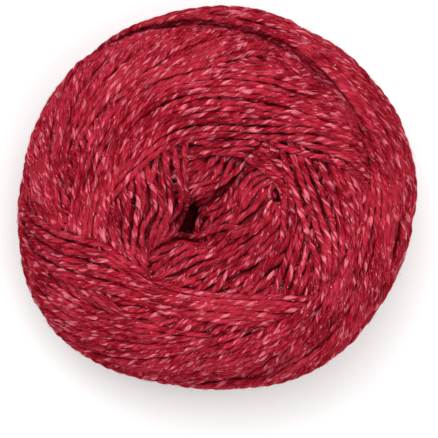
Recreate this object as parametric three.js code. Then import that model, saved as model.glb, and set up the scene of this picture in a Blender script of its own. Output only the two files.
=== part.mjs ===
// A machine-wound ball of fine two-ply yarn: a flattened round cake lying on its
// flat side, with a sunken middle that the last inner turns left open. It is one
// solid of the wound form, with the main bands of turns standing proud of it.
// Millimetres, +Z up. The origin is on the surface the ball rests on, under the
// middle of its outline.
import * as THREE from 'three';

const BALL_LENGTH = 94; // across X, outside of the turns
const BALL_WIDTH = 90.2; // across Y
const BALL_HEIGHT = 56; // from the resting spot to the top of the crown
const RIM_RADIUS = 46.5; // mean outline before the lobes below
const COLUMNS = 96; // steps round the ball
const ROWS = 44; // steps down the side, from the sunken middle to the underside's
const FLAT_LEVEL = 0.9; // the underside is pressed flat below this height
const HOLE = { x: -6.4, y: -5.7, fadeRadius: 27 }; // the opening is off centre
const ROW_SPREAD = 0.25; // share by which rows are closer on the top and wider on the underside
const EDGE = 0.5; // how square a band's section is: 1 is a lens, less is flatter with steeper sides
const LAYER = 0.06; // how much higher each later band lies than the one before
const EVENED = 0.22; // share by which a point of the surface follows its neighbours
const COLUMN_ANGLE = (2 * Math.PI) / COLUMNS;
const STEP = 0.02; // a small turn, for measuring how steeply a band climbs

// The profile from the middle of the top, over the rim, to the middle of the
// underside, before the bands are laid on it.
const PROFILE = [
  { radius: 0.0, height: 39.0 },
  { radius: 2.4, height: 40.2 },
  { radius: 4.6, height: 45.4 },
  { radius: 8.6, height: 48.4 },
  { radius: 14.5, height: 50.0 },
  { radius: 21.0, height: 51.7 },
  { radius: 27.5, height: 52.6 },
  { radius: 33.5, height: 51.4 },
  { radius: 39.0, height: 47.4 },
  { radius: 43.2, height: 41.0 },
  { radius: 45.8, height: 33.8 },
  { radius: 46.5, height: 27.0 },
  { radius: 45.7, height: 20.2 },
  { radius: 43.0, height: 13.2 },
  { radius: 38.6, height: 7.2 },
  { radius: 32.6, height: 2.8 },
  { radius: 26.0, height: 0.6 },
  { radius: 19.5, height: 0.0 },
  { radius: 13.5, height: 0.9 },
  { radius: 8.0, height: 3.4 },
  { radius: 3.6, height: 6.6 },
  { radius: 0.0, height: 8.0 },
];

// The outline isn't a true round: each row adds a number of lobes, how far they
// stand out, and the azimuth in degrees that the first one points to.
const OUTLINE_LOBES = [
  { lobes: 1, amount: 0.81, toward: -120.7 },
  { lobes: 2, amount: 1.13, toward: 19.8 },
  { lobes: 3, amount: 0.53, toward: -24.3 },
  { lobes: 4, amount: 0.54, toward: 33.7 },
  { lobes: 5, amount: 0.38, toward: 6.3 },
];

// The main bands, in the order they were wound. A band runs right round the
// ball: it passes nearest the middle of the top at azimuth `nearest`, `radius`
// away from it, crosses the rim `clockwise` and `counter` degrees to either
// side of that, and passes the middle of the underside on the far side. `bend`
// is how late it turns outward: 1 is straight away, more is later.
const BANDS = [
  { name: 'middle', nearest: 318, radius: 5.5, clockwise: 78, counter: 80, bend: 2.1, width: 9, rise: 1.6 },
  { name: 'innerLow', nearest: 290, radius: 14.5, clockwise: 80, counter: 78, bend: 2.1, width: 9, rise: 1.9 },
  { name: 'innerLeft', nearest: 172, radius: 17.0, clockwise: 88, counter: 84, bend: 2.1, width: 9, rise: 2.0 },
  { name: 'innerRight', nearest: 15, radius: 20.0, clockwise: 92, counter: 80, bend: 2.1, width: 10, rise: 2.0 },
  { name: 'right', nearest: 352, radius: 29.0, clockwise: 90, counter: 84, bend: 2.1, width: 10, rise: 2.0 },
  { name: 'top', nearest: 118, radius: 25.5, clockwise: 118, counter: 126, bend: 3.8, width: 11, rise: 2.4 },
  { name: 'upper', nearest: 128, radius: 37.5, clockwise: 78, counter: 88, bend: 2.1, width: 10, rise: 2.3 },
  { name: 'left', nearest: 178, radius: 40.5, clockwise: 92, counter: 84, bend: 2.0, width: 10, rise: 2.3 },
  { name: 'lowLeft', nearest: 243, radius: 26.0, clockwise: 60, counter: 94, bend: 3.4, width: 10, rise: 3.0 },
  { name: 'outerLow', nearest: 258, radius: 37.5, clockwise: 66, counter: 88, bend: 2.2, width: 11, rise: 2.6 },
  { name: 'lower', nearest: 304, radius: 38.0, clockwise: 80, counter: 86, bend: 2.1, width: 10, rise: 2.3 },
  { name: 'lowRight', nearest: 338, radius: 39.5, clockwise: 60, counter: 82, bend: 2.0, width: 11, rise: 2.6 },
  { name: 'last', nearest: 8, radius: 42.4, clockwise: 88, counter: 104, bend: 2.4, width: 13, rise: 3.4 },
];

const rad = THREE.MathUtils.degToRad;
const mix = THREE.MathUtils.lerp;
const spline = new THREE.SplineCurve(PROFILE.map((p) => new THREE.Vector2(p.radius, p.height)));
spline.arcLengthDivisions = 800;
const PROFILE_LENGTH = spline.getLength();

// Where along the profile, from 0 to 1, the top reaches a radius, and the rim.
const SAMPLES = 600;
const samples = Array.from({ length: SAMPLES + 1 }, (_, i) => spline.getPointAt(i / SAMPLES));
const RIM_AT = samples.reduce((best, p, i) => (p.x > samples[best].x ? i : best), 0) / SAMPLES;
function alongAtRadius(radius) {
  const i = samples.findIndex((p) => p.x >= radius);
  return (i < 0 ? RIM_AT * SAMPLES : i) / SAMPLES;
}

function outline(azimuth) {
  return OUTLINE_LOBES.reduce(
    (r, l) => r + l.amount * Math.cos(l.lobes * (azimuth - rad(l.toward))),
    RIM_RADIUS,
  );
}

// The middle line of a band at an azimuth, as a place along the profile.
function bandAlong(band, azimuth) {
  const turn = THREE.MathUtils.euclideanModulo(THREE.MathUtils.radToDeg(azimuth) - band.nearest, 360);
  const near = alongAtRadius(band.radius);
  const under = (360 - band.clockwise - band.counter) / 2;
  let u; // 0 nearest the top's middle, 1 at the rim, 2 nearest the underside's
  if (turn <= band.counter) u = turn / band.counter;
  else if (360 - turn <= band.clockwise) u = (360 - turn) / band.clockwise;
  else u = 1 + Math.min(turn - band.counter, 360 - turn - band.clockwise) / under;
  const reach = u <= 1 ? Math.pow(u, band.bend) : 2 - Math.pow(2 - u, 2.1);
  return near + (RIM_AT - near) * reach;
}

// How far the bands lift the surface there. Each is a lens across its width, and
// a later band lies a little higher, so it covers the ones that it crosses.
function lift(along, azimuth) {
  return BANDS.reduce((highest, band, order) => {
    const middle = bandAlong(band, azimuth);
    const off = (along - middle) * PROFILE_LENGTH;
    const climb = ((bandAlong(band, azimuth + STEP) - middle) * PROFILE_LENGTH) / STEP;
    const round = Math.max(4, spline.getPointAt(middle).x);
    const across = (off * Math.cos(Math.atan(climb / round))) / (band.width / 2);
    if (Math.abs(across) >= 1) return highest;
    const lens = Math.pow(1 - across * across, EDGE);
    return Math.max(highest, (order * LAYER + band.rise) * lens);
  }, 0);
}

// How far along the profile each row lies, from 0 to 1.
function rowAlong(row) {
  const t = row / ROWS;
  return t * (1 - ROW_SPREAD) + t * t * ROW_SPREAD;
}

// The lift at every point of the grid, evened out once between neighbours.
function liftGrid() {
  const raw = [];
  for (let row = 0; row <= ROWS; row += 1) {
    raw.push(Array.from({ length: COLUMNS }, (_, col) => lift(rowAlong(row), col * COLUMN_ANGLE)));
  }
  const at = (row, col) => raw[THREE.MathUtils.clamp(row, 0, ROWS)][(col + COLUMNS) % COLUMNS];
  return raw.map((line, row) =>
    line.map((own, col) => {
      const beside = at(row - 1, col) + at(row + 1, col) + at(row, col - 1) + at(row, col + 1);
      return mix(own, beside / 4, EVENED);
    }),
  );
}

function surfacePoint(along, stand) {
  const p = spline.getPointAt(along);
  const tangent = spline.getTangentAt(THREE.MathUtils.clamp(along, 0.002, 0.998));
  const proud = stand * Math.min(1, p.x / 6);
  return { radius: Math.max(0, p.x - tangent.y * proud), height: p.y + tangent.x * proud };
}

function woundForm() {
  const lifts = liftGrid();
  const columns = Array.from({ length: COLUMNS }, (_, col) =>
    Array.from({ length: ROWS + 1 }, (_, row) =>
      surfacePoint(rowAlong(row), lifts[row][col]),
    ),
  );
  const points = [];
  for (let row = 0; row <= ROWS; row += 1) {
    const ends = row === 0 || row === ROWS;
    for (let col = 0; col < (ends ? 1 : COLUMNS); col += 1) {
      const azimuth = col * COLUMN_ANGLE;
      const { radius, height } = columns[col][row];
      const widest = Math.max(...columns[col].map((p) => p.radius));
      const grow = mix(1, outline(azimuth) / widest, THREE.MathUtils.smoothstep(radius, 12, 40));
      const off = rowAlong(row) < RIM_AT ? Math.pow(Math.max(0, 1 - radius / HOLE.fadeRadius), 0.8) : 0;
      points.push(
        new THREE.Vector3(
          HOLE.x * off + radius * grow * Math.cos(azimuth),
          HOLE.y * off + radius * grow * Math.sin(azimuth),
          Math.max(height, FLAT_LEVEL),
        ),
      );
    }
  }

  // Exact overall sizes, with the origin under the middle of the outline.
  const box = new THREE.Box3().setFromPoints(points);
  const size = box.getSize(new THREE.Vector3());
  const middle = box.getCenter(new THREE.Vector3());
  const positions = points.flatMap((p) => [
    ((p.x - middle.x) * BALL_LENGTH) / size.x,
    ((p.y - middle.y) * BALL_WIDTH) / size.y,
    ((p.z - box.min.z) * BALL_HEIGHT) / size.z,
  ]);

  const at = (row, col) => 1 + (row - 1) * COLUMNS + (col % COLUMNS);
  const last = points.length - 1;
  const index = [];
  for (let col = 0; col < COLUMNS; col += 1) {
    index.push(0, at(1, col), at(1, col + 1));
    for (let row = 1; row < ROWS - 1; row += 1) {
      index.push(at(row, col), at(row + 1, col), at(row, col + 1));
      index.push(at(row, col + 1), at(row + 1, col), at(row + 1, col + 1));
    }
    index.push(at(ROWS - 1, col), last, at(ROWS - 1, col + 1));
  }
  const geometry = new THREE.BufferGeometry();
  geometry.setAttribute('position', new THREE.Float32BufferAttribute(positions, 3));
  geometry.setIndex(index);
  geometry.computeVertexNormals();
  return geometry;
}

const yarn = new THREE.MeshStandardMaterial({ color: 0x9c2735, roughness: 0.95, metalness: 0 });

const ball = new THREE.Group();
ball.name = 'yarn_ball';
const wound = new THREE.Mesh(woundForm(), yarn);
wound.name = 'wound_yarn';
ball.add(wound);

export default ball;
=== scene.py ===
"""A flattened ball of fine two-ply wool and silk yarn, wound turn by turn.

Every turn is laid as a soft cord over the turns below it, bundle after bundle, and the parts that
stay in view become two-ply strands. Lengths in the tables are millimetres and angles are degrees,
counter-clockwise from +X seen from above; Blender objects are in metres.
"""
from math import pi

import bpy
import numpy as np
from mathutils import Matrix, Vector


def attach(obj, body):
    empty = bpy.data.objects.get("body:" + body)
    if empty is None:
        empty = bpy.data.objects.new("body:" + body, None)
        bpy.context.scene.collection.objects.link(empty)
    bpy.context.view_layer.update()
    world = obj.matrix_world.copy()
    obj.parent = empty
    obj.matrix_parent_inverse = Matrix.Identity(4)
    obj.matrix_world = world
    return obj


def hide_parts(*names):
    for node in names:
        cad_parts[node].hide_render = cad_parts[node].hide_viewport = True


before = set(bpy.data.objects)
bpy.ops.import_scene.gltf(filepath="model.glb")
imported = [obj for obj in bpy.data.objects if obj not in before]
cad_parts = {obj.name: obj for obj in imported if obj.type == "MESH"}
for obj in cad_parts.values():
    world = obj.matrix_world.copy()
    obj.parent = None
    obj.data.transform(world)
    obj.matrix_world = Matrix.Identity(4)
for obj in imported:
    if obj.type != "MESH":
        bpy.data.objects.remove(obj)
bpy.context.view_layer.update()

# ------------------------------------------------------------------ sizes
YARN_RADIUS = 0.80          # overall radius of the two plies together
TWIST_LENGTH = 8.0          # one full turn of the ply twist
STEP = 0.3                  # spacing of the points while a turn is laid
CENTRE_REACH = 33.0         # the sunken middle is laid on a flat grid out to here
HOLE = (-6.4, -5.7)         # where the sunken middle lies
HOLE_FADE = 27.0            # its shift from the ball's axis fades out at this radius
PITS = [  # (x, y, half width, half length, lean, depth): places where the middle has fallen in
    (-6.9, -5.2, 1.9, 4.6, -12.0, 14.0), (2.6, 2.9, 1.6, 6.5, -62.0, 3.5), (-17.5, -12.6, 1.6, 2.6, -30.0, 5.0),
    (9.5, 5.4, 1.2, 3.2, -80.0, 3.0)]
BALL_BOX = (94.0, 90.2, 56.0)
FLAT_LEVEL = 0.80           # lowest a strand's centre may be on the pressed underside

# half of the ball's section, from the middle of the top round to the middle of the underside
PROFILE = [  # (radius, height)
    (0.0, 39.0), (2.4, 40.2), (4.6, 45.4), (8.6, 48.4), (14.5, 50.0), (21.0, 51.7), (27.5, 52.6),
    (33.5, 51.4), (39.0, 47.4), (43.2, 41.0), (45.8, 33.8), (46.5, 27.0), (45.7, 20.2),
    (43.0, 13.2), (38.6, 7.2), (32.6, 2.8), (26.0, 0.6), (19.5, 0.0), (13.5, 0.9), (8.0, 3.4),
    (3.6, 6.6), (0.0, 8.0)]
# the outline is a circle of the profile's greatest radius with these added
OUTLINE_LOBES = [  # (lobes, amount, toward)
    (1, 0.81, -120.7), (2, 1.13, 19.8), (3, 0.53, -24.3), (4, 0.54, 33.7), (5, 0.38, 6.3)]

# Strands of the sunken middle. Each family runs between two guide lines, given as points in a plan
# drawing of 0.2362 mm units whose ball centre is at (217, 198) with its second axis pointing down.
PLAN_UNIT, PLAN_X, PLAN_Y = 0.2362, 217.0, 198.0
CENTRE_FAMILIES = [  # (name, strands, first guide, last guide, waviness, sunk start, sunk end)
    ("floor_a", 7, [(196, 196), (214, 190), (236, 180), (262, 166), (290, 158)],
     [(206, 236), (226, 222), (248, 206), (272, 194), (300, 184)], 0.35, 0, 0),
    ("floor_b", 10, [(176, 112), (174, 150), (178, 186), (179, 208), (170, 226), (150, 242)],
     [(122, 120), (118, 150), (120, 190), (122, 220), (126, 262)], 0.3, 0, 0),
    ("floor_c", 8, [(176, 140), (200, 146), (226, 146), (256, 144)],
     [(178, 204), (194, 200), (210, 192), (228, 178)], 0.3, 0, 0),
    ("floor_d", 9, [(150, 262), (180, 254), (206, 246), (232, 236), (268, 220)],
     [(170, 306), (204, 300), (236, 288), (268, 266), (304, 238)], 0.3, 0, 0),
    ("floor_e", 8, [(262, 162), (268, 190), (270, 220), (262, 252)],
     [(312, 160), (322, 196), (318, 236), (296, 270)], 0.3, 0, 0),
    ("middle", 8, [(197, 242), (193, 231), (196, 220), (205, 212), (218, 207), (231, 199), (243, 185), (252, 166)],
     [(218, 250), (228, 238), (240, 228), (253, 216), (263, 203), (272, 190), (286, 172)], 0.5, 3.0, 0),
    ("right_hooks", 5, [(222, 208), (232, 192), (240, 178), (250, 168), (266, 166), (286, 168), (306, 176)],
     [(236, 216), (246, 204), (252, 192), (261, 183), (274, 178), (290, 184), (308, 194)], 0.4, 2.5, 0),
    ("upper_hooks", 8, [(168, 166), (180, 164), (194, 161), (206, 156), (216, 149), (232, 142), (252, 138), (276, 136)],
     [(176, 200), (190, 196), (204, 192), (217, 185), (228, 174), (240, 163), (258, 157), (282, 152)], 0.55, 1.0, 0),
    ("upper", 7, [(158, 136), (180, 134), (204, 132), (228, 130), (252, 128), (296, 124)],
     [(170, 158), (190, 157), (212, 153), (232, 153), (252, 154), (272, 158), (298, 164)], 0.4, 0, 0),
    ("lower", 10, [(116, 270), (132, 262), (150, 250), (163, 242), (176, 236), (188, 239), (204, 238), (224, 230), (246, 222), (266, 204)],
     [(168, 318), (192, 306), (216, 292), (236, 279), (256, 264), (274, 246), (288, 222), (298, 200)], 0.5, 0, 0),
    ("under_right", 3, [(294, 220), (287, 240), (276, 255), (262, 267), (246, 278)],
     [(303, 228), (296, 248), (284, 264), (269, 277), (253, 288)], 0.2, 1.2, 1.2),
    ("right", 11, [(246, 158), (262, 168), (276, 180), (284, 198), (284, 218), (280, 240), (268, 256), (250, 272), (232, 288)],
     [(268, 138), (298, 160), (316, 184), (326, 210), (326, 238), (314, 268), (292, 292), (262, 308)], 0.5, 0, 0),
    ("outer_left", 10, [(148, 300), (136, 272), (130, 242), (127, 216), (127, 190), (131, 166), (144, 146), (168, 131), (200, 125), (236, 125), (272, 133)],
     [(112, 296), (104, 264), (99, 232), (99, 196), (104, 160), (122, 130), (149, 108), (185, 96), (226, 94), (268, 104)], 0.35, 0, 0),
    ("left", 9, [(186, 112), (181, 134), (181, 150), (183, 163), (186, 184), (189, 199), (187, 211), (182, 220), (174, 230), (161, 237), (146, 245), (128, 258)],
     [(152, 104), (138, 126), (130, 148), (129, 172), (131, 192), (132, 212), (131, 232), (132, 252), (142, 274), (158, 292)], 0.62, 0, 0),
]

# Bundles of turns in the order they were wound. A turn passes nearest the middle of the top at
# angle `at` and radius `near`, and crosses the rim `cw` degrees one way round and `ccw` the other.
BUNDLE_DEFAULTS = dict(bend=2.2, bend_cw=None, bend_ccw=None, fan=0.6, pitch=1.37, way=1, under=30.0, wave=0.20, stray=0.12)
BUNDLES = [  # (name, turns, at, near, cw, ccw, changes)
    ("P0", 9, 345, 27.0, 92, 84, dict(fan=1.0)),
    ("P", 9, 22, 25.5, 98, 80, dict(fan=1.0)),
    ("Q", 9, 52, 26.5, 62, 84, dict(bend=2.0)),
    ("B0", 6, 108, 20.5, 110, 120, dict(bend=3.6, fan=0.5)),
    ("B", 8, 120, 27.0, 122, 132, dict(bend=4.2, fan=0.4)),
    ("B2", 7, 110, 35.8, 70, 88, {}),
    ("E0", 7, 142, 38.4, 84, 88, {}),
    ("E", 8, 172, 40.6, 90, 80, dict(bend=1.9)),
    ("C", 8, 200, 40.0, 92, 88, dict(bend=1.8)),
    ("D", 8, 224, 37.5, 84, 90, dict(bend=1.8)),
    ("F", 7, 243, 25.0, 57, 96, dict(bend_cw=3.6, bend_ccw=3.5, fan=0.4, way=-1)),
    ("G", 6, 252, 36.4, 62, 88, dict(way=-1)),
    ("H", 7, 284, 37.2, 74, 88, dict(bend=2.0)),
    ("H2", 6, 308, 36.0, 80, 84, {}),
    ("I", 8, 333, 38.0, 54, 80, dict(bend=2.0, fan=0.5)),
    ("J", 7, 350, 39.8, 70, 86, dict(bend=1.8, fan=0.5, stray=0.1)),
    ("J2", 7, 2, 40.6, 84, 96, dict(bend=2.0, bend_ccw=2.7, fan=0.5, stray=0.1)),
    ("A", 10, 8, 42.2, 88, 103, dict(bend=2.0, bend_ccw=2.7, fan=0.4, pitch=1.38, way=-1, wave=0.12, stray=0.05)),
]
UNDER_BUNDLES = [("base_%d" % k, 10, 20.0 * k - 10, 30.0, 88, 88, dict(fan=1.0, pitch=1.6)) for k in range(18)]

SIDES = 10                  # corners of a strand's section
SEGMENT = 0.61              # length of one segment of a finished strand
MOST_FACES = 150000         # triangles in one piece
rng = np.random.default_rng(5)


# ------------------------------------------------------------------ curves
def through(points, per_span=60):
    """A smooth curve through the points."""
    p = np.array(points, float)
    p = np.vstack([2 * p[0] - p[1], p, 2 * p[-1] - p[-2]])
    t = np.linspace(0, 1, per_span, endpoint=False)[:, None]
    out = []
    for a, b, c, d in zip(p[:-3], p[1:-2], p[2:-1], p[3:]):
        out.append(0.5 * ((2 * b) + (c - a) * t + (2 * a - 5 * b + 4 * c - d) * t ** 2 + (3 * b - a - 3 * c + d) * t ** 3))
    out.append(p[-2][None])
    return np.vstack(out)


def along(p):
    """Distance from the start at every point of a polyline."""
    return np.concatenate([[0.0], np.cumsum(np.sqrt((np.diff(p, axis=0) ** 2).sum(1)))])


def drift(n, step, wavelength):
    """Smooth noise of about unit size over n points that are step apart."""
    m = max(4, int(n * step / wavelength) + 3)
    k = rng.normal(0, 1, m + 3)
    x = np.linspace(0, m - 1, n)
    i = x.astype(int)
    t = x - i
    a, b, c, d = k[i], k[i + 1], k[i + 2], k[np.minimum(i + 3, m + 2)]
    return 0.5 * ((2 * b) + (c - a) * t + (2 * a - 5 * b + 4 * c - d) * t ** 2 + (3 * b - a - 3 * c + d) * t ** 3)


def smoothed(v, weights):
    k = np.array(weights, float)
    k /= k.sum()
    pad = len(k) // 2
    return np.convolve(np.concatenate([np.repeat(v[:1], pad), v, np.repeat(v[-1:], pad)]), k, "valid")


def ease(x):
    x = np.clip(x, 0, 1)
    return x * x * (3 - 2 * x)


# ------------------------------------------------------------------ the wound form as two axes
ROWS, COLUMNS = 640, 1440
section = through(PROFILE)
section_length = along(section)
LENGTH = section_length[-1]
s_axis = np.linspace(0, LENGTH, ROWS)
ds, dphi = s_axis[1], 2 * pi / COLUMNS
s_radius = np.maximum(np.interp(s_axis, section_length, section[:, 0]), 0.0)
s_height = np.interp(s_axis, section_length, section[:, 1])
s_dr, s_dz = np.gradient(s_radius, ds), np.gradient(s_height, ds)
s_norm = np.hypot(s_dr, s_dz)
s_dr, s_dz = s_dr / s_norm, s_dz / s_norm
RIM_ROW = int(np.argmax(s_radius))
S_RIM = s_axis[RIM_ROW]
RIM_RADIUS = s_radius[RIM_ROW]


def at_s(values, s):
    return np.interp(s, s_axis, values)


def s_of_radius(r):
    return np.interp(r, s_radius[:RIM_ROW + 1], s_axis[:RIM_ROW + 1])


def outline(phi):
    r = RIM_RADIUS + 0 * phi
    for lobes, amount, toward in OUTLINE_LOBES:
        r = r + amount * np.cos(lobes * (phi - np.radians(toward)))
    return r


def place(phi, s, h):
    """The point h above the wound form at angle phi and distance s down the section."""
    r, z = at_s(s_radius, s), at_s(s_height, s)
    rr, zz = r - at_s(s_dz, s) * h, z + at_s(s_dr, s) * h
    g = 1 + (outline(phi) / RIM_RADIUS - 1) * np.clip(r / 30, 0, 1)
    off = np.where(s < S_RIM, np.clip(1 - r / HOLE_FADE, 0, 1) ** 0.8, 0)
    return np.stack([HOLE[0] * off + rr * g * np.cos(phi), HOLE[1] * off + rr * g * np.sin(phi), zz], -1)


def angle_and_s(x, y):
    """The form's own coordinates of a point of the top seen from above."""
    r = np.hypot(x, y)
    phi = np.arctan2(y, x)
    for _ in range(12):
        off = np.clip(1 - r / HOLE_FADE, 0, 1) ** 0.8
        dx, dy = x - HOLE[0] * off, y - HOLE[1] * off
        phi = np.arctan2(dy, dx)
        g = 1 + (outline(phi) / RIM_RADIUS - 1) * np.clip(r / 30, 0, 1)
        r = 0.5 * r + 0.5 * np.hypot(dx, dy) / g
    return phi, s_of_radius(r)


# ------------------------------------------------------------------ height maps the turns are laid on
def disc(radius, step):
    n = int(radius / step) + 1
    a, b = np.meshgrid(np.arange(-n, n + 1) * step, np.arange(-n, n + 1) * step, indexing="ij")
    keep = a * a + b * b <= radius * radius + 1e-9
    return a[keep], b[keep]


PRINT_A, PRINT_B = disc(YARN_RADIUS, 0.155)
PRINT_H = np.sqrt(np.maximum(0, YARN_RADIUS ** 2 - PRINT_A ** 2 - PRINT_B ** 2))
TOUCH_A, TOUCH_B = disc(0.42, 0.14)
TOUCH_H = np.sqrt(np.maximum(0, YARN_RADIUS ** 2 - TOUCH_A ** 2 - TOUCH_B ** 2)) * 0.92


def stretched(contact, rounds, slack=0.0015):
    """A cord resting on the contact heights and pulled straight between them."""
    h = contact.copy()
    for _ in range(rounds):
        mean = 0.5 * (np.roll(h, 1) + np.roll(h, -1)) - slack
        mean[0], mean[-1] = h[0], h[-1]
        h = np.maximum(contact, mean)
    return h


def bedded(contact):
    return np.minimum(contact, smoothed(contact, [1, 2, 3, 2, 1]) + 0.12)


def blurred(coarse, sigma_rows, sigma_columns, wrap):
    """Gaussian blur of a coarse map; its columns may run round."""
    pad, side = 16, 0 if wrap else 16
    c = np.pad(coarse, ((pad, pad), (side, side)), "edge")
    fr, fc = np.fft.fftfreq(c.shape[0])[:, None], np.fft.rfftfreq(c.shape[1])[None]
    f = np.fft.rfft2(c) * np.exp(-2 * pi ** 2 * ((sigma_rows * fr) ** 2 + (sigma_columns * fc) ** 2))
    out = np.fft.irfft2(f, s=c.shape)
    return out[pad:-pad, side:out.shape[1] - side]


def finer(a, f, wrap):
    """The coarse map read back on a grid f times as fine."""
    x = (np.arange(a.shape[0] * f) + 0.5) / f - 0.5
    i = np.floor(x).astype(int)
    w = (x - i)[:, None]
    a = a[np.clip(i, 0, a.shape[0] - 1)] * (1 - w) + a[np.clip(i + 1, 0, a.shape[0] - 1)] * w
    n = a.shape[1]
    x = (np.arange(n * f) + 0.5) / f - 0.5
    i = np.floor(x).astype(int)
    w = (x - i)[None]
    if wrap:
        return a[:, i % n] * (1 - w) + a[:, (i + 1) % n] * w
    return a[:, np.clip(i, 0, n - 1)] * (1 - w) + a[:, np.clip(i + 1, 0, n - 1)] * w


class RoundMap:
    """Height over the wound form, by distance down the section and by angle."""
    UP, DOWN, COARSE = 1.25, 2.4, 4

    def __init__(self):
        self.h = np.zeros((ROWS, COLUMNS), np.float32)
        self.taken = np.zeros((ROWS, COLUMNS), np.float32)
        self.weight = np.where(s_axis < S_RIM, ease((s_radius - 13) / 13), 1)[:, None].astype(np.float32)

    def flatten(self, sigma=5.0, strength=1.0):
        """Each bundle presses the pile down, so that it keeps its shape as it grows."""
        f = self.COARSE
        coarse = self.h.reshape(ROWS // f, f, COLUMNS // f, f).mean((1, 3))
        low = finer(blurred(coarse, sigma / (ds * f), sigma / (dphi * 34 * f), True), f, True)
        d = self.h - low * strength
        pressed = np.where(d > 0, self.UP * np.tanh(d / self.UP), self.DOWN * np.tanh(d / self.DOWN)) * strength + d * (1 - strength)
        change = (self.h - pressed) * self.weight
        self.taken += change
        self.h = self.h - change

    def cell(self, phi, s):
        return np.clip(np.rint(s / ds).astype(int), 0, ROWS - 1), np.rint(phi / dphi).astype(int) % COLUMNS

    def lay(self, phi, s, rounds=70):
        r = np.maximum(at_s(s_radius, s), 0.8)
        i = np.clip(np.rint((s[:, None] + TOUCH_A[None]) / ds).astype(int), 0, ROWS - 1)
        j = np.rint((phi[:, None] + TOUCH_B[None] / r[:, None]) / dphi).astype(int) % COLUMNS
        h = stretched(bedded((self.h[i, j] + TOUCH_H[None]).max(1)), rounds)
        i = np.clip(np.rint((s[:, None] + PRINT_A[None]) / ds).astype(int), 0, ROWS - 1)
        j = np.rint((phi[:, None] + PRINT_B[None] / r[:, None]) / dphi).astype(int) % COLUMNS
        top = (h[:, None] + PRINT_H[None]).astype(np.float32)
        np.maximum.at(self.h, (i.ravel(), j.ravel()), top.ravel())
        return h


GRID = 488                  # cells a side of the flat grid over the sunken middle
GRID_STEP = 2 * (CENTRE_REACH + 1.0) / GRID


class FlatMap:
    """Height over the sunken middle, seen from above."""
    UP, DOWN = 1.6, 2.6

    def __init__(self, base):
        self.base = base.astype(np.float32)
        self.z = self.base.copy()
        self.taken = np.zeros_like(self.z)

    def flatten(self, strength):
        d = self.z - self.base
        sigma = 3.2 / (GRID_STEP * 4)
        low = finer(blurred(d.reshape(GRID // 4, 4, GRID // 4, 4).mean((1, 3)), sigma, sigma, False), 4, False)
        e = d - low * strength
        e = np.where(e > 0, self.UP * np.tanh(e / self.UP), self.DOWN * np.tanh(e / self.DOWN)) * strength + e * (1 - strength)
        self.taken += d - e
        self.z = self.base + e

    def cell(self, x, y):
        half = GRID * GRID_STEP / 2
        return (np.clip(((y + half) / GRID_STEP).astype(int), 0, GRID - 1), np.clip(((x + half) / GRID_STEP).astype(int), 0, GRID - 1))

    def lay(self, x, y, sunk, rounds=22):
        i, j = self.cell(x[:, None] + TOUCH_A[None], y[:, None] + TOUCH_B[None])
        z = stretched(bedded((self.z[i, j] + TOUCH_H[None]).max(1)), rounds) - sunk
        i, j = self.cell(x[:, None] + PRINT_A[None], y[:, None] + PRINT_B[None])
        top = (z[:, None] + PRINT_H[None]).astype(np.float32)
        np.maximum.at(self.z, (i.ravel(), j.ravel()), top.ravel())
        return z


# ------------------------------------------------------------------ paths of the turns
def bundle_path(b, n=1440):
    """Distance down the section over the angle, from the underside's nearest point round to it again."""
    a = np.arange(n) * 360.0 / n - 180.0
    near = s_of_radius(b["near"])
    low = LENGTH - s_of_radius(b["under"]) * (LENGTH - S_RIM) / S_RIM
    reach = np.where(a >= 0, b["ccw"], b["cw"])
    bend = np.where(a >= 0, b["bend_ccw"] or b["bend"], b["bend_cw"] or b["bend"])
    t = np.abs(a)
    top = near + (S_RIM - near) * np.clip(t / reach, 0, 1) ** bend
    rest = np.clip((t - reach) / (180 - reach), 0, 1)
    s = np.where(t <= reach, top, S_RIM + (low - S_RIM) * (1 - (1 - rest) ** 2))
    k = np.hanning(61)
    s = np.convolve(np.concatenate([s[-61:], s, s[:61]]), k / k.sum(), "same")[61:-61]
    return np.radians(a + b["at"]), s


def bundle_turns(b):
    phi, s = bundle_path(b)
    n = len(phi)
    slope = np.arctan2(np.gradient(s, phi[1] - phi[0]), np.maximum(at_s(s_radius, s), 2.0))
    k = np.hanning(41)
    slope = np.convolve(np.concatenate([slope[-41:], slope, slope[:41]]), k / k.sum(), "same")[41:-41]
    r = np.maximum(at_s(s_radius, s), 2.0)
    middle = (b["turns"] - 1) / 2
    stray = rng.normal(0, b["stray"], b["turns"] + 1)
    lean = rng.normal(0, 0.35, b["turns"] + 1)
    for i in range(b["turns"]):
        step = ease(np.arange(n) / n / 0.16) - 1        # the step to the next turn is on the underside
        pos = i + step if b["way"] > 0 else b["turns"] - 1 - i - step
        own = stray[i] + (stray[i + 1] - stray[i]) * (step + 1)
        tilt = lean[i] + (lean[i + 1] - lean[i]) * (step + 1)
        off = (pos - middle) * b["pitch"] + own
        fan = np.radians((pos - middle) * b["fan"] + tilt)
        yield phi - off * np.sin(slope) / r + fan, s + off * np.cos(slope)


def evenly(phi, s):
    r = np.maximum(at_s(s_radius, s), 0.5)
    d = np.hypot(np.diff(s), np.diff(phi) * 0.5 * (r[1:] + r[:-1]))
    length = np.concatenate([[0], np.cumsum(d)])
    t = np.linspace(0, length[-1], max(8, int(length[-1] / STEP)))
    return np.interp(t, length, phi), np.interp(t, length, s)


def swayed(phi, s, amount, wavelength=16.0):
    r = np.maximum(at_s(s_radius, s), 1.0)
    dp, dd = np.gradient(phi) * r, np.gradient(s)
    length = np.hypot(dp, dd) + 1e-9
    o = drift(len(phi), STEP, wavelength) * amount
    return phi - dd / length * o / r, s + dp / length * o


def plan_mm(point):
    return ((point[0] - PLAN_X) * PLAN_UNIT, (PLAN_Y - point[1]) * PLAN_UNIT)


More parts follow.
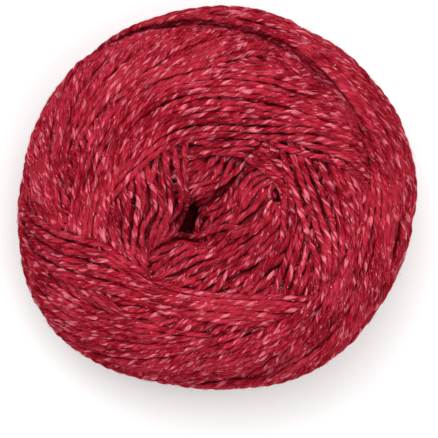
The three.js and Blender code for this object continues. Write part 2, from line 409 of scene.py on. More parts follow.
def family_paths(strands, first, last, wave):
    guides = []
    for g in (first, last):
        p = through([plan_mm(q) for q in g], 24)
        length = along(p)
        t = np.linspace(0, length[-1], 260)
        guides.append(np.stack([np.interp(t, length, p[:, 0]), np.interp(t, length, p[:, 1])], 1))
    for i in range(strands):
        f = (i + rng.uniform(-0.22, 0.22)) / (strands - 1)
        p = guides[0] * (1 - f) + guides[1] * f
        length = along(p)
        n = max(8, int(length[-1] / STEP))
        t = np.linspace(0, length[-1], n)
        x, y = np.interp(t, length, p[:, 0]), np.interp(t, length, p[:, 1])
        gx, gy = np.gradient(x), np.gradient(y)
        g = np.hypot(gx, gy)
        o = drift(n, STEP, 8.0) * wave + drift(n, STEP, 22.0) * wave * 0.5
        yield x - gy / g * o, y + gx / g * o


# ------------------------------------------------------------------ winding
turns = []                  # each: name, kind, coordinates, height while laid, map's taken value then
ball = RoundMap()


def wind(spec):
    name, count, at, near, cw, ccw, changes = spec
    b = dict(BUNDLE_DEFAULTS, turns=count, at=at, near=near, cw=cw, ccw=ccw, **changes)
    for phi, s in bundle_turns(b):
        phi, s = swayed(*evenly(phi, s), b["wave"])
        h = ball.lay(phi, s)
        i, j = ball.cell(phi, s)
        turns.append(dict(name=name, phi=phi, s=s, h=h, taken=ball.taken[i, j].copy()))
    ball.flatten()


for spec in UNDER_BUNDLES:
    wind(spec)

# the sunken middle
half = GRID * GRID_STEP / 2
axis = -half + (np.arange(GRID) + 0.5) * GRID_STEP
gx, gy = np.meshgrid(axis, axis)
g_phi, g_s = angle_and_s(gx, gy)
g_row, g_col = ball.cell(g_phi, g_s)
flat_scale = np.abs(at_s(s_dr, g_s))
pit = 0 * gx
for x, y, half_width, half_length, lean, depth in PITS:
    c, d = np.cos(np.radians(lean)), np.sin(np.radians(lean))
    u, v = (gx - x) * c + (gy - y) * d, (gy - y) * c - (gx - x) * d
    pit = np.maximum(pit, np.exp(-((u / half_width) ** 2 + (v / half_length) ** 2) ** 1.5) * depth)
g_radius = np.hypot(gx, gy)
sink = 2.4 * (1 - ease((g_radius - 14) / 16))
crater = FlatMap(at_s(s_height, g_s) + ball.h[g_row, g_col] * flat_scale * ease((g_radius - 18) / 8) - sink - pit)
for name, strands, first, last, wave, start, end in CENTRE_FAMILIES:
    draws = rng.bit_generator.state
    for x, y in family_paths(strands, first, last, wave):
        d = np.arange(len(x)) * STEP
        sunk = start * (1 - ease(d / 4.0)) + end * (1 - ease((d[-1] - d) / 4.0))
        z = crater.lay(x, y, sunk)
        i, j = crater.cell(x, y)
        turns.append(dict(name=name, x=x, y=y, z=z, taken=crater.taken[i, j].copy()))
    crater.flatten(0.35 if name.startswith("floor") else 0.12)
    if name.startswith("under_"):
        rng.bit_generator.state = draws     # what it drew leaves the others as they were
for t in turns:
    if "x" in t:
        i, j = crater.cell(t["x"], t["y"])
        t["z"] = smoothed(t["z"] - (crater.taken[i, j] - t["taken"]), [1, 2, 3, 2, 1])
        t["phi"], t["s"] = angle_and_s(t["x"], t["y"])
        i, j = ball.cell(t["phi"], t["s"])
        t["taken"] = ball.taken[i, j].copy()
# hand the middle over to the round map
m_s, m_phi = np.meshgrid(s_axis[:RIM_ROW], np.arange(COLUMNS) * dphi, indexing="ij")
m = place(m_phi, m_s, 0 * m_s)
inside = np.hypot(m[..., 0], m[..., 1]) < CENTRE_REACH
i, j = crater.cell(m[..., 0], m[..., 1])
over = (crater.z[i, j] - m[..., 2]) / np.maximum(np.abs(at_s(s_dr, m_s)), 0.3)
ball.h[:RIM_ROW] = np.where(inside, np.maximum(over, np.where(np.hypot(m[..., 0], m[..., 1]) > 26, ball.h[:RIM_ROW], -99)), ball.h[:RIM_ROW])
for spec in BUNDLES:
    wind(spec)
total = sum(len(t["s"]) for t in turns) * STEP / 1000
print("laid %d turns, %.1f m, heights %.1f to %.1f" % (len(turns), total, ball.h.min(), ball.h.max()))

# ------------------------------------------------------------------ settled centre lines
for t in turns:
    i, j = ball.cell(t["phi"], t["s"])
    lost = ball.taken[i, j] - t["taken"]
    slope = np.abs(at_s(s_dr, t["s"]))
    if "x" in t:
        t["z"] = t["z"] - lost * slope
        t["p"] = np.stack([t["x"], t["y"], t["z"]], 1)
        t["h"] = (t["z"] - place(t["phi"], t["s"], 0 * t["s"])[:, 2]) / np.maximum(slope, 0.3)
        t["up"] = np.tile([0.0, 0.0, 1.0], (len(t["z"]), 1))
    else:
        t["h"] = smoothed(t["h"] - lost, [1, 2, 3, 2, 1])
        t["p"] = place(t["phi"], t["s"], t["h"])
        up = place(t["phi"], t["s"], 0.5 + 0 * t["s"]) - place(t["phi"], t["s"], -0.5 + 0 * t["s"])
        t["up"] = up / (np.sqrt((up ** 2).sum(1))[:, None] + 1e-9)

# stretches of turns that cross the middle of the underside, one layer over the other
UNDER_CROSSINGS = [  # (direction, nearest offset, turns, height)
    (15, -26.0, 37, -4.4), (78, 3.0, 17, -3.4), (150, 4.5, 16, -2.5), (222, 4.0, 16, -1.6), (298, 7.0, 14, -0.8)]
draws = rng.bit_generator.state
for direction, nearest, count, level in UNDER_CROSSINGS:
    c, d = np.cos(np.radians(direction)), np.sin(np.radians(direction))
    for offset in nearest + 1.42 * np.arange(count) + rng.normal(0, 0.10, count):
        if abs(offset) > 28:
            continue
        reach = np.sqrt(29.5 ** 2 - offset ** 2)
        v = np.arange(-reach, reach, STEP)
        w = offset + 0.004 * v * v + drift(len(v), STEP, 16.0) * 0.22
        x, y = v * c - w * d, v * d + w * c
        r = np.hypot(x, y)
        phi = np.unwrap(np.arctan2(y, x))
        under = np.interp(r, s_radius[RIM_ROW:][::-1], s_axis[RIM_ROW:][::-1])
        h = level - 2.4 * ease((r - 22) / 6)
        up = place(phi, under, 0.5 + 0 * r) - place(phi, under, -0.5 + 0 * r)
        turns.append(dict(name="below", phi=phi, s=under, h=h, p=place(phi, under, h), up=up))
rng.bit_generator.state = draws

# the finished surface, over the round form and seen from above in the middle
NOTHING = -99.0
outer_top = np.full((ROWS, COLUMNS), NOTHING, np.float32)
middle_top = np.full((GRID, GRID), NOTHING, np.float32)
for t in turns:
    r = np.maximum(at_s(s_radius, t["s"]), 0.8)
    i = np.clip(np.rint((t["s"][:, None] + PRINT_A[None]) / ds).astype(int), 0, ROWS - 1)
    j = np.rint((t["phi"][:, None] + PRINT_B[None] / r[:, None]) / dphi).astype(int) % COLUMNS
    np.maximum.at(outer_top, (i.ravel(), j.ravel()), (t["h"][:, None] + PRINT_H[None]).astype(np.float32).ravel())
    k = (t["s"] < S_RIM) & (np.hypot(t["p"][:, 0], t["p"][:, 1]) < CENTRE_REACH - 1)
    if k.any():
        q = t["p"][k]
        i, j = crater.cell(q[:, :1] + PRINT_A[None], q[:, 1:2] + PRINT_B[None])
        np.maximum.at(middle_top, (i.ravel(), j.ravel()), (q[:, 2:] + PRINT_H[None]).astype(np.float32).ravel())

# the same from straight above and from straight beside, for the slopes that a level view shows
VIEW, VIEW_STEP, BESIDE_STEP = 600, 0.165, 0.175
above = np.full((VIEW, VIEW), NOTHING, np.float32)
beside = np.full((360, COLUMNS), NOTHING, np.float32)


def above_cell(x, y):
    return (np.clip((y / VIEW_STEP + VIEW / 2).astype(int), 0, VIEW - 1), np.clip((x / VIEW_STEP + VIEW / 2).astype(int), 0, VIEW - 1))


def beside_cell(angle, z):
    return np.clip((z / BESIDE_STEP + 12).astype(int), 0, 359), np.rint(angle / dphi).astype(int) % COLUMNS


for t in turns:
    x, y, z = t["p"].T
    t["out"], t["angle"] = np.hypot(x, y), np.arctan2(y, x)
    k = (t["s"] < S_RIM + 3) & (t["out"] > 26)
    if k.any():
        i, j = above_cell(x[k][:, None] + PRINT_A[None], y[k][:, None] + PRINT_B[None])
        np.maximum.at(above, (i.ravel(), j.ravel()), (z[k][:, None] + PRINT_H[None]).astype(np.float32).ravel())
    k = t["out"] > 36
    if k.any():
        out = t["out"][k][:, None]
        i, j = beside_cell(t["angle"][k][:, None] + PRINT_A[None] / out, z[k][:, None] + PRINT_B[None])
        np.maximum.at(beside, (i.ravel(), j.ravel()), (out + PRINT_H[None]).astype(np.float32).ravel())

ACROSS = np.linspace(-0.95, 0.95, 9) * YARN_RADIUS
OWN = np.sqrt(YARN_RADIUS ** 2 - ACROSS ** 2)
for t in turns:
    seen = np.zeros(len(t["s"]), bool)
    r = np.maximum(at_s(s_radius, t["s"]), 0.8)
    dp, dd = np.gradient(t["phi"]) * r, np.gradient(t["s"])
    length = np.hypot(dp, dd) + 1e-9
    g = np.gradient(t["p"][:, :2], axis=0)
    side = np.stack([-g[:, 1], g[:, 0]], 1) / (np.hypot(g[:, 0], g[:, 1])[:, None] + 1e-9)
    around, rise = np.gradient(np.unwrap(t["angle"])) * t["out"], np.gradient(t["p"][:, 2])
    climb = np.hypot(around, rise) + 1e-9
    around, rise = around / climb, rise / climb
    for o, own in zip(ACROSS, OWN):
        if "x" in t:
            i, j = crater.cell(*(t["p"][:, :2] + side * o).T)
            seen |= middle_top[i, j] <= t["z"] + own + 0.10
        else:
            i, j = ball.cell(t["phi"] - dd / length * o / r, t["s"] + dp / length * o)
            seen |= outer_top[i, j] <= t["h"] + own + 0.08
        if t["s"].min() < S_RIM + 3:
            i, j = above_cell(*(t["p"][:, :2] + side * o).T)
            seen |= (above[i, j] <= t["p"][:, 2] + own + 0.08) & (t["s"] < S_RIM + 3) & (t["out"] > 27)
        i, j = beside_cell(t["angle"] - rise * o / t["out"], t["p"][:, 2] + around * o)
        seen |= (beside[i, j] <= t["out"] + own + 0.08) & (t["out"] > 38)
    grown = seen.copy()
    for k in range(1, 4):
        grown[k:] |= seen[:-k]
        grown[:-k] |= seen[k:]
    t["seen"] = grown

# match the outline and the height to the ball's, and press the underside flat
seen_points = np.concatenate([t["p"][t["seen"]] for t in turns])
BINS = 90
azimuth = np.arctan2(seen_points[:, 1], seen_points[:, 0])
bins = (np.floor(azimuth / (2 * pi) * BINS).astype(int)) % BINS
reach = np.zeros(BINS)
np.maximum.at(reach, bins, np.hypot(seen_points[:, 0], seen_points[:, 1]) + YARN_RADIUS)
k = np.array([1, 2, 3, 2, 1.0])
wide = np.convolve(np.concatenate([reach[-2:], reach, reach[:2]]), k / k.sum(), "valid")
low_z, high_z = seen_points[:, 2].min() - YARN_RADIUS, seen_points[:, 2].max() + YARN_RADIUS
bin_angle = (np.arange(BINS) + 0.5) * 2 * pi / BINS
spread = 1.006 * outline(bin_angle) / wide
print("raw heights %.2f to %.2f, outline scaled %.3f to %.3f" % (low_z, high_z, spread.min(), spread.max()))


def pressed(p):
    q = np.array(p, float)
    r = np.hypot(q[..., 0], q[..., 1])
    g = np.interp(np.arctan2(q[..., 1], q[..., 0]), bin_angle - pi, np.roll(spread, BINS // 2), period=2 * pi)
    g = 1 + (g - 1) * np.clip(r / 40, 0, 1) ** 2
    q[..., 0] *= g
    q[..., 1] *= g
    q[..., 2] = (q[..., 2] - low_z) * BALL_BOX[2] / (high_z - low_z)
    w = 0.9
    q[..., 2] = FLAT_LEVEL + w * np.logaddexp(0, (q[..., 2] - FLAT_LEVEL) / w)
    return q


# ------------------------------------------------------------------ two-ply strands
beta = np.arange(SIDES) * 2 * pi / SIDES
LOBE, LOBE_OUT = 0.455, 0.375
two = LOBE_OUT * np.abs(np.cos(beta)) + np.sqrt(np.maximum(LOBE ** 2 - (LOBE_OUT * np.sin(beta)) ** 2, 0))
SECTION = 0.40 * 0.80 + 0.60 * two


spines = []


def strand_rings(t, a, b, number):
    """Rings of a run of one turn: points, and distance along the turn shifted by the turn's number."""
    p = pressed(t["p"][a:b])
    up = t["up"][a:b]
    length = along(p)
    n = max(3, int(round(length[-1] / SEGMENT)) + 1)
    at = np.linspace(0, length[-1], n)
    c = np.stack([np.interp(at, length, p[:, k]) for k in range(3)], 1)
    u = np.stack([np.interp(at, length, up[:, k]) for k in range(3)], 1)
    tangent = np.gradient(c, axis=0)
    tangent /= np.sqrt((tangent ** 2).sum(1))[:, None] + 1e-9
    side = np.cross(tangent, u)
    bad = (side ** 2).sum(1) < 0.02
    if bad.any():
        side[bad] = np.cross(tangent[bad], [0.36, 0.48, 0.8])
    side /= np.sqrt((side ** 2).sum(1))[:, None]
    u = np.cross(side, tangent)
    along_turn = a * STEP + at
    twist = -2 * pi * along_turn / TWIST_LENGTH + number * 1.7 + 0.9 * np.sin(along_turn / 9.0 + number * 3.1)
    swell = 1 + 0.05 * np.sin(along_turn / 1.9 + number * 2.1) + 0.05 * np.sin(along_turn / 4.7 + number * 5.3)
    angle = twist[:, None] + beta[None]
    radius = SECTION[None] * swell[:, None]
    ring = c[:, None] + radius[..., None] * (np.cos(angle)[..., None] * u[:, None] + np.sin(angle)[..., None] * side[:, None])
    ring[..., 2] = np.maximum(ring[..., 2], 0.0)
    spines.append((c, u, side))
    return ring, along_turn + number * 61.7


def build_piece(name, runs, material):
    verts, us, faces, base = [], [], [], 0
    for t, a, b, number in runs:
        ring, dist = strand_rings(t, a, b, number)
        n = len(ring)
        verts.append(ring.reshape(-1, 3))
        us.append(np.repeat(dist, SIDES))
        i, k = np.meshgrid(np.arange(n - 1), np.arange(SIDES), indexing="ij")
        q = np.stack([i * SIDES + k, (i + 1) * SIDES + k, (i + 1) * SIDES + (k + 1) % SIDES, i * SIDES + (k + 1) % SIDES], -1)
        faces.append(q.reshape(-1, 4) + base)
        base += n * SIDES
    v, u, f = np.concatenate(verts) * 0.001, np.concatenate(us), np.concatenate(faces)
    mesh = bpy.data.meshes.new(name)
    mesh.vertices.add(len(v))
    mesh.vertices.foreach_set("co", v.astype(np.float32).ravel())
    mesh.loops.add(f.size)
    mesh.loops.foreach_set("vertex_index", f[:, [0, 3, 2, 1]].astype(np.int32).ravel())
    mesh.polygons.add(len(f))
    mesh.polygons.foreach_set("loop_start", np.arange(0, f.size, 4, dtype=np.int32))
    mesh.polygons.foreach_set("loop_total", np.full(len(f), 4, np.int32))
    mesh.polygons.foreach_set("use_smooth", np.ones(len(f), bool))
    mesh.update(calc_edges=True)
    corner = f[:, [0, 3, 2, 1]]
    k = corner % SIDES
    wrap = (k == 0) & (k.max(1, keepdims=True) == SIDES - 1)
    v_coord = (k + np.where(wrap, SIDES, 0)) / SIDES
    uv = mesh.uv_layers.new(name="yarn")
    uv.data.foreach_set("uv", np.stack([u[corner] * 0.1, v_coord], -1).astype(np.float32).ravel())
    # strips for the baked colours: the strands' segments in reading order
    segment = np.arange(len(f)) // SIDES
    per_row = int(np.ceil(np.sqrt(segment[-1] * SIDES * 0.4 / SEGMENT)))
    rows = segment[-1] // per_row + 1
    forward = (corner // SIDES != (f[:, :1] // SIDES)).astype(float)
    bake = mesh.uv_layers.new(name="OFBake")
    bu = (segment % per_row)[:, None] + 0.02 + 0.96 * forward
    bv = (segment // per_row)[:, None] + 0.03 + 0.94 * v_coord
    bake.data.foreach_set("uv", np.stack([bu / (per_row + 0.1), bv / (rows + 0.1)], -1).astype(np.float32).ravel())
    mesh.uv_layers["yarn"].active = True
    mesh.uv_layers["yarn"].active_render = True
    mesh.materials.append(material)
    mesh.validate()
    piece = bpy.data.objects.new(name, mesh)
    bpy.context.scene.collection.objects.link(piece)
    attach(piece, "root")
    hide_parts("wound_yarn")
    return len(f) * 2


# ------------------------------------------------------------------ material
def yarn_material():
    mat = bpy.data.materials.new("wool_silk_yarn")
    mat.use_nodes = True
    nt = mat.node_tree
    nodes, links = nt.nodes, nt.links
    shader = nodes["Principled BSDF"]
    shader.inputs["Roughness"].default_value = 0.82
    shader.inputs["Subsurface Weight"].default_value = 0.22
    shader.inputs["Subsurface Radius"].default_value = (1.0, 0.14, 0.20)
    shader.inputs["Subsurface Scale"].default_value = 0.0012

    def math(op, a, b=None, c=None):
        n = nodes.new("ShaderNodeMath")
        n.operation = op
        for k, x in enumerate((a, b, c)):
            if x is None:
                continue
            if isinstance(x, (int, float)):
                n.inputs[k].default_value = x
            else:
                links.new(x, n.inputs[k])
        return n.outputs[0]

    uv = nodes.new("ShaderNodeUVMap")
    uv.uv_map = "yarn"
    split = nodes.new("ShaderNodeSeparateXYZ")
    links.new(uv.outputs[0], split.inputs[0])
    run = math("MULTIPLY", split.outputs[0], 10.0)      # millimetres along the strand
    angle = math("MULTIPLY", split.outputs[1], 2 * pi)
    cosine, sine = math("COSINE", angle), math("SINE", angle)

    def strand_noise(per_mm, round_scale, detail=1.0, roughness=0.5, shift=0.0, lacunarity=2.0):
        """Noise wrapped seamlessly round the strand, stretched along it."""
        join = nodes.new("ShaderNodeCombineXYZ")
        links.new(math("MULTIPLY_ADD", run, per_mm, shift), join.inputs[0])
        links.new(math("MULTIPLY", cosine, round_scale), join.inputs[1])
        links.new(math("MULTIPLY", sine, round_scale), join.inputs[2])
        n = nodes.new("ShaderNodeTexNoise")
        n.inputs["Scale"].default_value = 1.0
        n.inputs["Detail"].default_value = detail
        n.inputs["Roughness"].default_value = roughness
        n.inputs["Lacunarity"].default_value = lacunarity
        links.new(join.outputs[0], n.inputs["Vector"])
        return n.outputs["Fac"]

    def step(value, low, high, to_low=0.0, to_high=1.0):
        n = nodes.new("ShaderNodeMapRange")
        n.interpolation_type = "SMOOTHSTEP"
        links.new(value, n.inputs["Value"])
        for key, x in (("From Min", low), ("From Max", high), ("To Min", to_low), ("To Max", to_high)):
            n.inputs[key].default_value = x
        return n.outputs["Result"]

    def mix(factor, a, b, blend="MIX"):
        n = nodes.new("ShaderNodeMix")
        n.data_type = "RGBA"
        n.blend_type = blend
        if isinstance(factor, (int, float)):
            n.inputs["Factor"].default_value = factor
        else:
            links.new(factor, n.inputs["Factor"])
        for socket, x in ((n.inputs["A"], a), (n.inputs["B"], b)):
            if isinstance(x, tuple):
                socket.default_value = x
            else:
                links.new(x, socket)
        return n.outputs["Result"]

    heather = strand_noise(0.055, 0.35, 2.0)            # slow change of shade along a turn
    plies = strand_noise(0.34, 0.75, 1.0, shift=11.0)   # each ply's own shade
    fibres = strand_noise(0.70, 3.6, 3.0, 0.60, shift=5.0)
    flecks = strand_noise(0.33, 0.70, 0.6, shift=400.0)
    specks = strand_noise(0.95, 1.7, 1.0, shift=900.0)
    DEEP, MID, LIGHT = (0.155, 0.0023, 0.0070, 1), (0.350, 0.0077, 0.0215, 1), (0.51, 0.033, 0.063, 1)
    SILK, SILK_PALE = (0.74, 0.175, 0.235, 1), (0.84, 0.30, 0.36, 1)
    colour = mix(step(heather, 0.36, 0.64), MID, DEEP)
    colour = mix(step(plies, 0.46, 0.62, 0.0, 0.85), colour, LIGHT)
    colour = mix(step(plies, 0.43, 0.31, 0.0, 0.55), colour, DEEP)
    colour = mix(step(fibres, 0.47, 0.58, 0.0, 0.85), colour, DEEP)
    colour = mix(step(fibres, 0.45, 0.35, 0.0, 0.60), colour, LIGHT)
    where = nodes.new("ShaderNodeTexCoord")
    patch = nodes.new("ShaderNodeTexNoise")              # neighbouring turns share some of their shade
    patch.inputs["Scale"].default_value = 95.0
    patch.inputs["Detail"].default_value = 1.5
    links.new(where.outputs["Object"], patch.inputs["Vector"])
    colour = mix(step(patch.outputs["Fac"], 0.50, 0.66, 0.0, 0.50), colour, DEEP)
    colour = mix(step(patch.outputs["Fac"], 0.48, 0.34, 0.0, 0.30), colour, LIGHT)
    mottle = math("MULTIPLY_ADD", heather, -0.22, 0.11)  # flecks gather where the shade is light
    fleck = math("MULTIPLY", step(math("ADD", flecks, mottle), 0.60, 0.68), step(fibres, 0.34, 0.60, 1.0, 0.35))
    colour = mix(fleck, colour, SILK)
    colour = mix(math("MULTIPLY", step(specks, 0.70, 0.77), 0.7), colour, SILK_PALE)
    links.new(math("MULTIPLY", fleck, 0.22), shader.inputs["Specular IOR Level"])
    links.new(colour, shader.inputs["Base Color"])
    bump = nodes.new("ShaderNodeBump")
    bump.inputs["Strength"].default_value = 0.62
    bump.inputs["Distance"].default_value = 0.00022
    links.new(math("ADD", fibres, math("MULTIPLY", flecks, 0.35)), bump.inputs["Height"])
    links.new(bump.outputs[0], shader.inputs["Normal"])
    return mat


yarn = yarn_material()

# ------------------------------------------------------------------ pieces
runs = []
for number, t in enumerate(turns):
    idx = np.flatnonzero(t["seen"])
    if len(idx) == 0:
        continue
    for part in np.split(idx, np.flatnonzero(np.diff(idx) > 1) + 1):
        if len(part) >= 6:
            runs.append((t, part[0], part[-1] + 1, number))
length_seen = sum((b - a) * STEP for _, a, b, _ in runs)
print("in view %.1f m in %d runs" % (length_seen / 1000, len(runs)))
per_mm = 2 * SIDES / SEGMENT
groups, group, load = [], [], 0.0
for run in runs:
    cost = along(pressed(run[0]["p"][run[1]:run[2]]))[-1] * per_mm
    if group and load + cost > MOST_FACES:
        groups.append(group)
        group, load = [], 0.0
    group.append(run)
    load += cost
groups.append(group)
count = 0
for k, group in enumerate(groups):
    count += build_piece("wound_turns_%d" % (k + 1), group, yarn)

# the imported turns below the ones in view, coloured darker than the yarn itself: painted shade for the gaps between
# the strands
core_painted_shade_material = bpy.data.materials.new("packed_yarn_painted_shade")
core_painted_shade_material.use_nodes = True
ct = core_painted_shade_material.node_tree
core_shader = ct.nodes["Principled BSDF"]
core_shader.inputs["Roughness"].default_value = 0.9
core_shader.inputs["Specular IOR Level"].default_value = 0.0
core_noise = ct.nodes.new("ShaderNodeTexNoise")
core_noise.inputs["Scale"].default_value = 900.0
core_noise.inputs["Detail"].default_value = 3.0
core_painted_shade_ramp = ct.nodes.new("ShaderNodeValToRGB")
# painted shade: both ends of this ramp are far darker than the yarn's own colours, standing in for the shade that falls
# in the gaps down to the packed turns
core_painted_shade_ramp.color_ramp.elements[0].color = (0.100, 0.0030, 0.007, 1)
core_painted_shade_ramp.color_ramp.elements[1].color = (0.27, 0.009, 0.021, 1)
core_place = ct.nodes.new("ShaderNodeTexCoord")
ct.links.new(core_place.outputs["Object"], core_noise.inputs["Vector"])
ct.links.new(core_noise.outputs["Fac"], core_painted_shade_ramp.inputs[0])
ct.links.new(core_painted_shade_ramp.outputs[0], core_shader.inputs["Base Color"])

CORE_ROWS, CORE_COLUMNS = 128, 240
blocks = outer_top.reshape(CORE_ROWS, ROWS // CORE_ROWS, CORE_COLUMNS, COLUMNS // CORE_COLUMNS).transpose(0, 2, 1, 3).reshape(CORE_ROWS, CORE_COLUMNS, -1)
core_h = np.clip(np.sort(blocks, axis=2)[:, :, 4], -6.0, 1.0)
for _ in range(2):
    core_h = np.minimum(core_h, np.minimum(np.roll(core_h, 1, 1), np.roll(core_h, -1, 1)))
    core_h[1:-1] = np.minimum(core_h[1:-1], np.minimum(core_h[2:], core_h[:-2]))
core_h -= 1.5
lowest = np.where(middle_top < -50, crater.base, middle_top)
for shift in (1, 1, 2):
    for ax in (0, 1):
        lowest = np.minimum(lowest, np.minimum(np.roll(lowest, shift, ax), np.roll(lowest, -shift, ax)))
core_s = (np.arange(CORE_ROWS) + 0.5) * LENGTH / CORE_ROWS
core_phi = np.arange(CORE_COLUMNS) * 2 * pi / CORE_COLUMNS
cs, cp = np.meshgrid(core_s, core_phi, indexing="ij")
upright = (cs < S_RIM) & (at_s(s_radius, cs) < 27)
core_points = place(cp, cs, np.where(upright, 0, core_h))
i, j = crater.cell(core_points[..., 0], core_points[..., 1])
core_points[..., 2] = np.where(upright, lowest[i, j] - 0.8, core_points[..., 2])
cp_points = pressed(core_points)
cp_points[..., 2] = np.maximum(cp_points[..., 2], 0.5)
n_r, n_c = CORE_ROWS, CORE_COLUMNS
core_verts = [tuple(p) for p in (cp_points.reshape(-1, 3) * 0.001)]
core_faces = []
for i in range(n_r - 1):
    for j in range(n_c):
        core_faces.append((i * n_c + j, (i + 1) * n_c + j, (i + 1) * n_c + (j + 1) % n_c, i * n_c + (j + 1) % n_c))
top, bottom = cp_points[0].mean(0) * 0.001, cp_points[-1].mean(0) * 0.001
core_verts += [tuple(top), tuple(bottom)]
for j in range(n_c):
    core_faces.append((n_r * n_c, j, (j + 1) % n_c))
    core_faces.append((n_r * n_c + 1, (n_r - 1) * n_c + (j + 1) % n_c, (n_r - 1) * n_c + j))
core_mesh = bpy.data.meshes.new("packed_turns")
core_mesh.from_pydata(core_verts, [], core_faces)
core_mesh.update()
core_mesh.polygons.foreach_set("use_smooth", np.ones(len(core_faces), bool))
core_mesh.materials.append(core_painted_shade_material)
core = bpy.data.objects.new("packed_turns", core_mesh)
bpy.context.scene.collection.objects.link(core)
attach(core, "root")
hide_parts("wound_yarn")
print("triangles in view %d in %d pieces" % (count, len(groups)))

# ------------------------------------------------------------------ loose fibres along the strands
FIBRES = 32000
spine_c, spine_u, spine_side, spine_end = [], [], [], []
offset = 0
for c, u, side in spines:
    spine_c.append(c)
    spine_u.append(u)
    spine_side.append(side)
    spine_end.append(np.full(len(c), offset + len(c) - 1))
    offset += len(c)
spine_c, spine_u, spine_side, spine_end = map(np.concatenate, (spine_c, spine_u, spine_side, spine_end))
first = rng.integers(0, offset, FIBRES)
reach = rng.choice([1, 2, 3], FIBRES, p=[0.3, 0.4, 0.3])
ok = first + 3 * reach <= spine_end[first]
first, reach = first[ok], reach[ok]
n = len(first)
lie = rng.normal(0, 0.85, n)
lie_turn = -rng.uniform(0.0, 1.1, n) * 2 * pi / TWIST_LENGTH * SEGMENT
width = rng.uniform(0.024, 0.050, n)
lift = np.abs(rng.normal(0, 1, (2, n))) * np.where(rng.random(n) < 0.30, 0.42, 0.11)
fv = []
for k in range(4):
    idx = first + k * reach
    a = lie + lie_turn * k * reach + rng.normal(0, 0.05, n)
    out = 0.80 + (lift[0] * (1 - k / 3) ** 2 if k < 2 else lift[1] * (k / 3) ** 2) + rng.normal(0, 0.015, n)
    way = np.cos(a)[:, None] * spine_u[idx] + np.sin(a)[:, None] * spine_side[idx]
    flank = -np.sin(a)[:, None] * spine_u[idx] + np.cos(a)[:, None] * spine_side[idx]
    centre = spine_c[idx] + way * out[:, None]
    w = (width * (1.0 if k in (1, 2) else 0.55))[:, None]
    fv += [centre - flank * w, centre + flank * w]
fv = np.stack(fv, 1)
fv[..., 2] = np.maximum(fv[..., 2], 0.0)
ff = (np.array([[0, 1, 3, 2], [2, 3, 5, 4], [4, 5, 7, 6]])[None] + (np.arange(n) * 8)[:, None, None]).reshape(-1, 4)
fibre_mesh = bpy.data.meshes.new("loose_fibres")
fibre_mesh.vertices.add(n * 8)
fibre_mesh.vertices.foreach_set("co", (fv * 0.001).astype(np.float32).ravel())
fibre_mesh.loops.add(ff.size)
fibre_mesh.loops.foreach_set("vertex_index", ff.astype(np.int32).ravel())
fibre_mesh.polygons.add(len(ff))
fibre_mesh.polygons.foreach_set("loop_start", np.arange(0, ff.size, 4, dtype=np.int32))
fibre_mesh.polygons.foreach_set("loop_total", np.full(len(ff), 4, np.int32))
fibre_mesh.polygons.foreach_set("use_smooth", np.ones(len(ff), bool))
fibre_mesh.update(calc_edges=True)
shade = np.repeat(rng.random(n), 12)
fibre_uv = fibre_mesh.uv_layers.new(name="yarn")
fibre_uv.data.foreach_set("uv", np.stack([shade, np.tile([0, 0, .33, .33, .33, .33, .67, .67, .67, .67, 1, 1], n)], -1).astype(np.float32).ravel())
# each fibre's own small cell for the baked colours
cells = int(np.ceil(np.sqrt(n / 3.0)))
number = np.arange(n)
cell_u, cell_v = (number % cells) / cells, (number // cells) / (3.0 * cells)
along_u = np.tile([0, 0, 1 / 3, 1 / 3, 1 / 3, 1 / 3, 2 / 3, 2 / 3, 2 / 3, 2 / 3, 1, 1], n).reshape(n, 12)
across_v = np.tile([0, 1, 1, 0] * 3, n).reshape(n, 12)
bake_u = cell_u[:, None] + (0.05 + 0.9 * along_u) / cells
bake_v = cell_v[:, None] + (0.1 + 0.8 * across_v) / (3.0 * cells)
fibre_bake = fibre_mesh.uv_layers.new(name="OFBake")
fibre_bake.data.foreach_set("uv", np.stack([bake_u, bake_v], -1).astype(np.float32).ravel())
fibre_mesh.uv_layers["yarn"].active = True
fibre_mesh.uv_layers["yarn"].active_render = True
fibre_material = bpy.data.materials.new("loose_fibre")
fibre_material.use_nodes = True
ft = fibre_material.node_tree
fibre_shader = ft.nodes["Principled BSDF"]
fibre_shader.inputs["Roughness"].default_value = 0.7
fibre_shader.inputs["Specular IOR Level"].default_value = 0.02
fibre_map = ft.nodes.new("ShaderNodeUVMap")
fibre_map.uv_map = "yarn"
fibre_split = ft.nodes.new("ShaderNodeSeparateXYZ")
fibre_ramp = ft.nodes.new("ShaderNodeValToRGB")
ramp = fibre_ramp.color_ramp
ramp.elements[0].color = (0.24, 0.008, 0.019, 1)
ramp.elements[1].position, ramp.elements[1].color = 1.0, (0.62, 0.16, 0.21, 1)
for position, colour in ((0.45, (0.36, 0.016, 0.036, 1)), (0.86, (0.48, 0.045, 0.075, 1))):
    e = ramp.elements.new(position)
    e.color = colour
ft.links.new(fibre_map.outputs[0], fibre_split.inputs[0])
ft.links.new(fibre_split.outputs[0], fibre_ramp.inputs[0])
ft.links.new(fibre_ramp.outputs[0], fibre_shader.inputs["Base Color"])
fibre_mesh.materials.append(fibre_material)
fibre_piece = bpy.data.objects.new("loose_fibres", fibre_mesh)
bpy.context.scene.collection.objects.link(fibre_piece)
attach(fibre_piece, "root")
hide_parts("wound_yarn")
print("fibres %d, triangles %d" % (n, 6 * n))

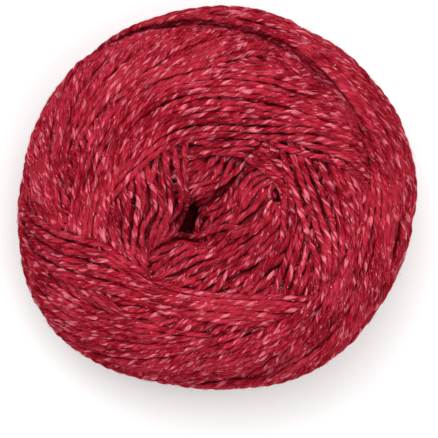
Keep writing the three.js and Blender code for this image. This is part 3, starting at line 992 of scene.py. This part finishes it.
# ------------------------------------------------------------------ floor, light, camera
bpy.context.scene.view_settings.view_transform = "Standard"
floor_mesh = bpy.data.meshes.new("floor")
floor_mesh.from_pydata([(-1.5, -1.5, 0), (1.5, -1.5, 0), (1.5, 1.5, 0), (-1.5, 1.5, 0)], [], [(0, 1, 2, 3)])
floor = bpy.data.objects.new("floor", floor_mesh)
bpy.context.scene.collection.objects.link(floor)
floor_material = bpy.data.materials.new("pale_floor")
floor_material.use_nodes = True
floor_material.node_tree.nodes["Principled BSDF"].inputs["Base Color"].default_value = (0.86, 0.86, 0.86, 1)
floor_material.node_tree.nodes["Principled BSDF"].inputs["Roughness"].default_value = 0.9
floor_mesh.materials.append(floor_material)

world = bpy.data.worlds.new("studio")
world.use_nodes = True
world.node_tree.nodes["Background"].inputs[0].default_value = (1, 1, 1, 1)
world.node_tree.nodes["Background"].inputs[1].default_value = 0.66
bpy.context.scene.world = world


def area_light(name, place_at, look_at, size, power):
    data = bpy.data.lights.new(name, "AREA")
    data.shape = "DISK"
    data.size = size
    data.energy = power
    lamp = bpy.data.objects.new(name, data)
    bpy.context.scene.collection.objects.link(lamp)
    lamp.location = place_at
    lamp.rotation_mode = "QUATERNION"
    lamp.rotation_quaternion = (Vector(look_at) - Vector(place_at)).to_track_quat("-Z", "Y")
    return lamp


area_light("key", (-0.12, 0.30, 0.85), (0, 0, 0.03), 0.7, 5.9)
area_light("fill", (0.30, -0.20, 0.85), (0, 0, 0.03), 0.8, 3.9)

camera_data = bpy.data.cameras.new("camera")
camera = bpy.data.objects.new("camera", camera_data)
bpy.context.scene.collection.objects.link(camera)
bpy.context.scene.camera = camera
FRAME_WIDTH = 438 * PLAN_UNIT * 0.001
CAMERA_HEIGHT = 1.2
camera.location = ((219 - PLAN_X) * PLAN_UNIT * 0.001, (PLAN_Y - 219) * PLAN_UNIT * 0.001, CAMERA_HEIGHT)
camera.rotation_euler = (0, 0, 0)
camera_data.sensor_width = 36.0
camera_data.lens = 36.0 * (CAMERA_HEIGHT - 0.031) / FRAME_WIDTH
camera_data.clip_start, camera_data.clip_end = 0.01, 10.0
